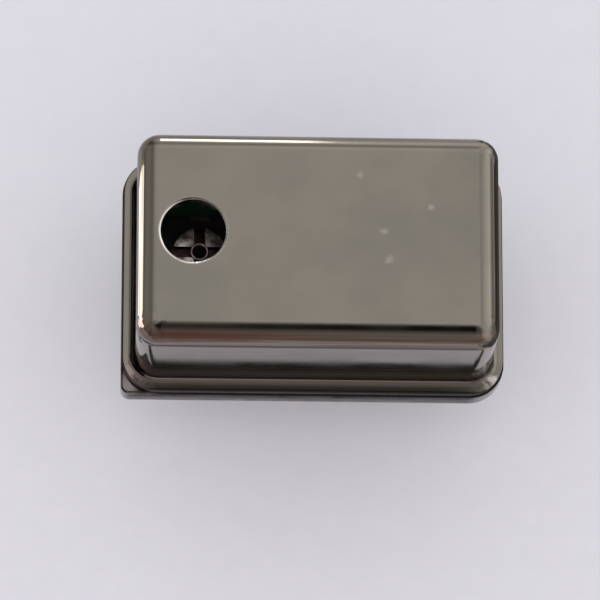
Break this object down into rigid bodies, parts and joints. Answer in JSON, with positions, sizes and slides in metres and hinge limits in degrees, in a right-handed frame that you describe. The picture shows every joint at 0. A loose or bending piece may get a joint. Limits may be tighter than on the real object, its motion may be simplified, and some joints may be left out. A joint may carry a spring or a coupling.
{
  "type": "crystal oscillator",
  "caption": "Boxy metal-can quartz crystal oscillator on wire leads, with a trimming hole in its top over a turning trimmer capacitor.",
  "frame": {"origin": "centre of the lead pattern at the seating plane, where the pressed feet meet a circuit board", "axes": "+X along the length, away from the end with the trimming hole; +Y across the width, away from the side with the square corner; +Z out of the can top"},
  "size_m": [0.0208, 0.0132, 0.0146],
  "materials": {
    "can_metal": "satin nickel plate, warm grey",
    "base_metal": "satin nickel plate, cool grey",
    "seal_glass": "fused green-grey glass",
    "solder": "bright tin solder",
    "lead_metal": "nickel plated wire",
    "board_laminate": "green solder resist on glass laminate",
    "stator_ceramic": "dark fired ceramic",
    "rotor_ceramic": "brown fired ceramic",
    "driver_metal": "nickel plated brass, dulled",
    "eyelet_metal": "nickel plated brass, dulled",
    "terminal_metal": "tinned",
    "glue": "cured cream adhesive",
    "crystal_metal": "nickel plated, satin",
    "crystal_glass": "fused glass bead",
    "silver_bond": "silver filled adhesive",
    "quartz": "lapped quartz",
    "chip_mould": "black moulding compound",
    "capacitor_ceramic": "tan fired ceramic",
    "resistor_ceramic": "dark glazed top on ceramic"
  },
  "bodies": {
    "case": {"cover": "can_metal", "base_header": "base_metal", "glass_seal_1": "seal_glass", "glass_seal_8": "seal_glass", "glass_seal_14": "seal_glass", "ground_braze": "solder", "lead_pin_1": "lead_metal", "lead_pin_7": "lead_metal", "lead_pin_8": "lead_metal", "lead_pin_14": "lead_metal", "circuit_board": "board_laminate", "pin_solder_1": "solder", "pin_solder_7": "solder", "pin_solder_8": "solder", "pin_solder_14": "solder", "trimmer_stator": "stator_ceramic", "trimmer_terminal_front": "terminal_metal", "trimmer_terminal_back": "terminal_metal", "crystal_can": "crystal_metal", "crystal_ring": "crystal_metal", "crystal_glass": "crystal_glass", "crystal_lead_front": "lead_metal", "crystal_lead_back": "lead_metal", "crystal_solder_front": "solder", "crystal_solder_back": "solder", "crystal_glue": "glue", "quartz_blank": "quartz", "blank_bond_front": "silver_bond", "blank_bond_back": "silver_bond", "oscillator_chip": "chip_mould", "oscillator_chip_leads": "terminal_metal", "bypass_capacitor": "capacitor_ceramic", "load_capacitor_in": "capacitor_ceramic", "load_capacitor_out": "capacitor_ceramic", "feedback_resistor": "resistor_ceramic", "drive_resistor": "resistor_ceramic", "output_resistor": "resistor_ceramic", "chip_end_caps": "terminal_metal"},
    "trimmer": {"trimmer_rotor": "rotor_ceramic", "trimmer_driver": "driver_metal", "trimmer_eyelet": "eyelet_metal"}
  },
  "joints": [
    {"name": "trimmer_turn", "type": "hinge", "parent": "case", "child": "trimmer", "pos_m": [-0.00626, 0.00015, 0.00555], "axis": [0, 0, 1], "continuous": true}
  ]
}
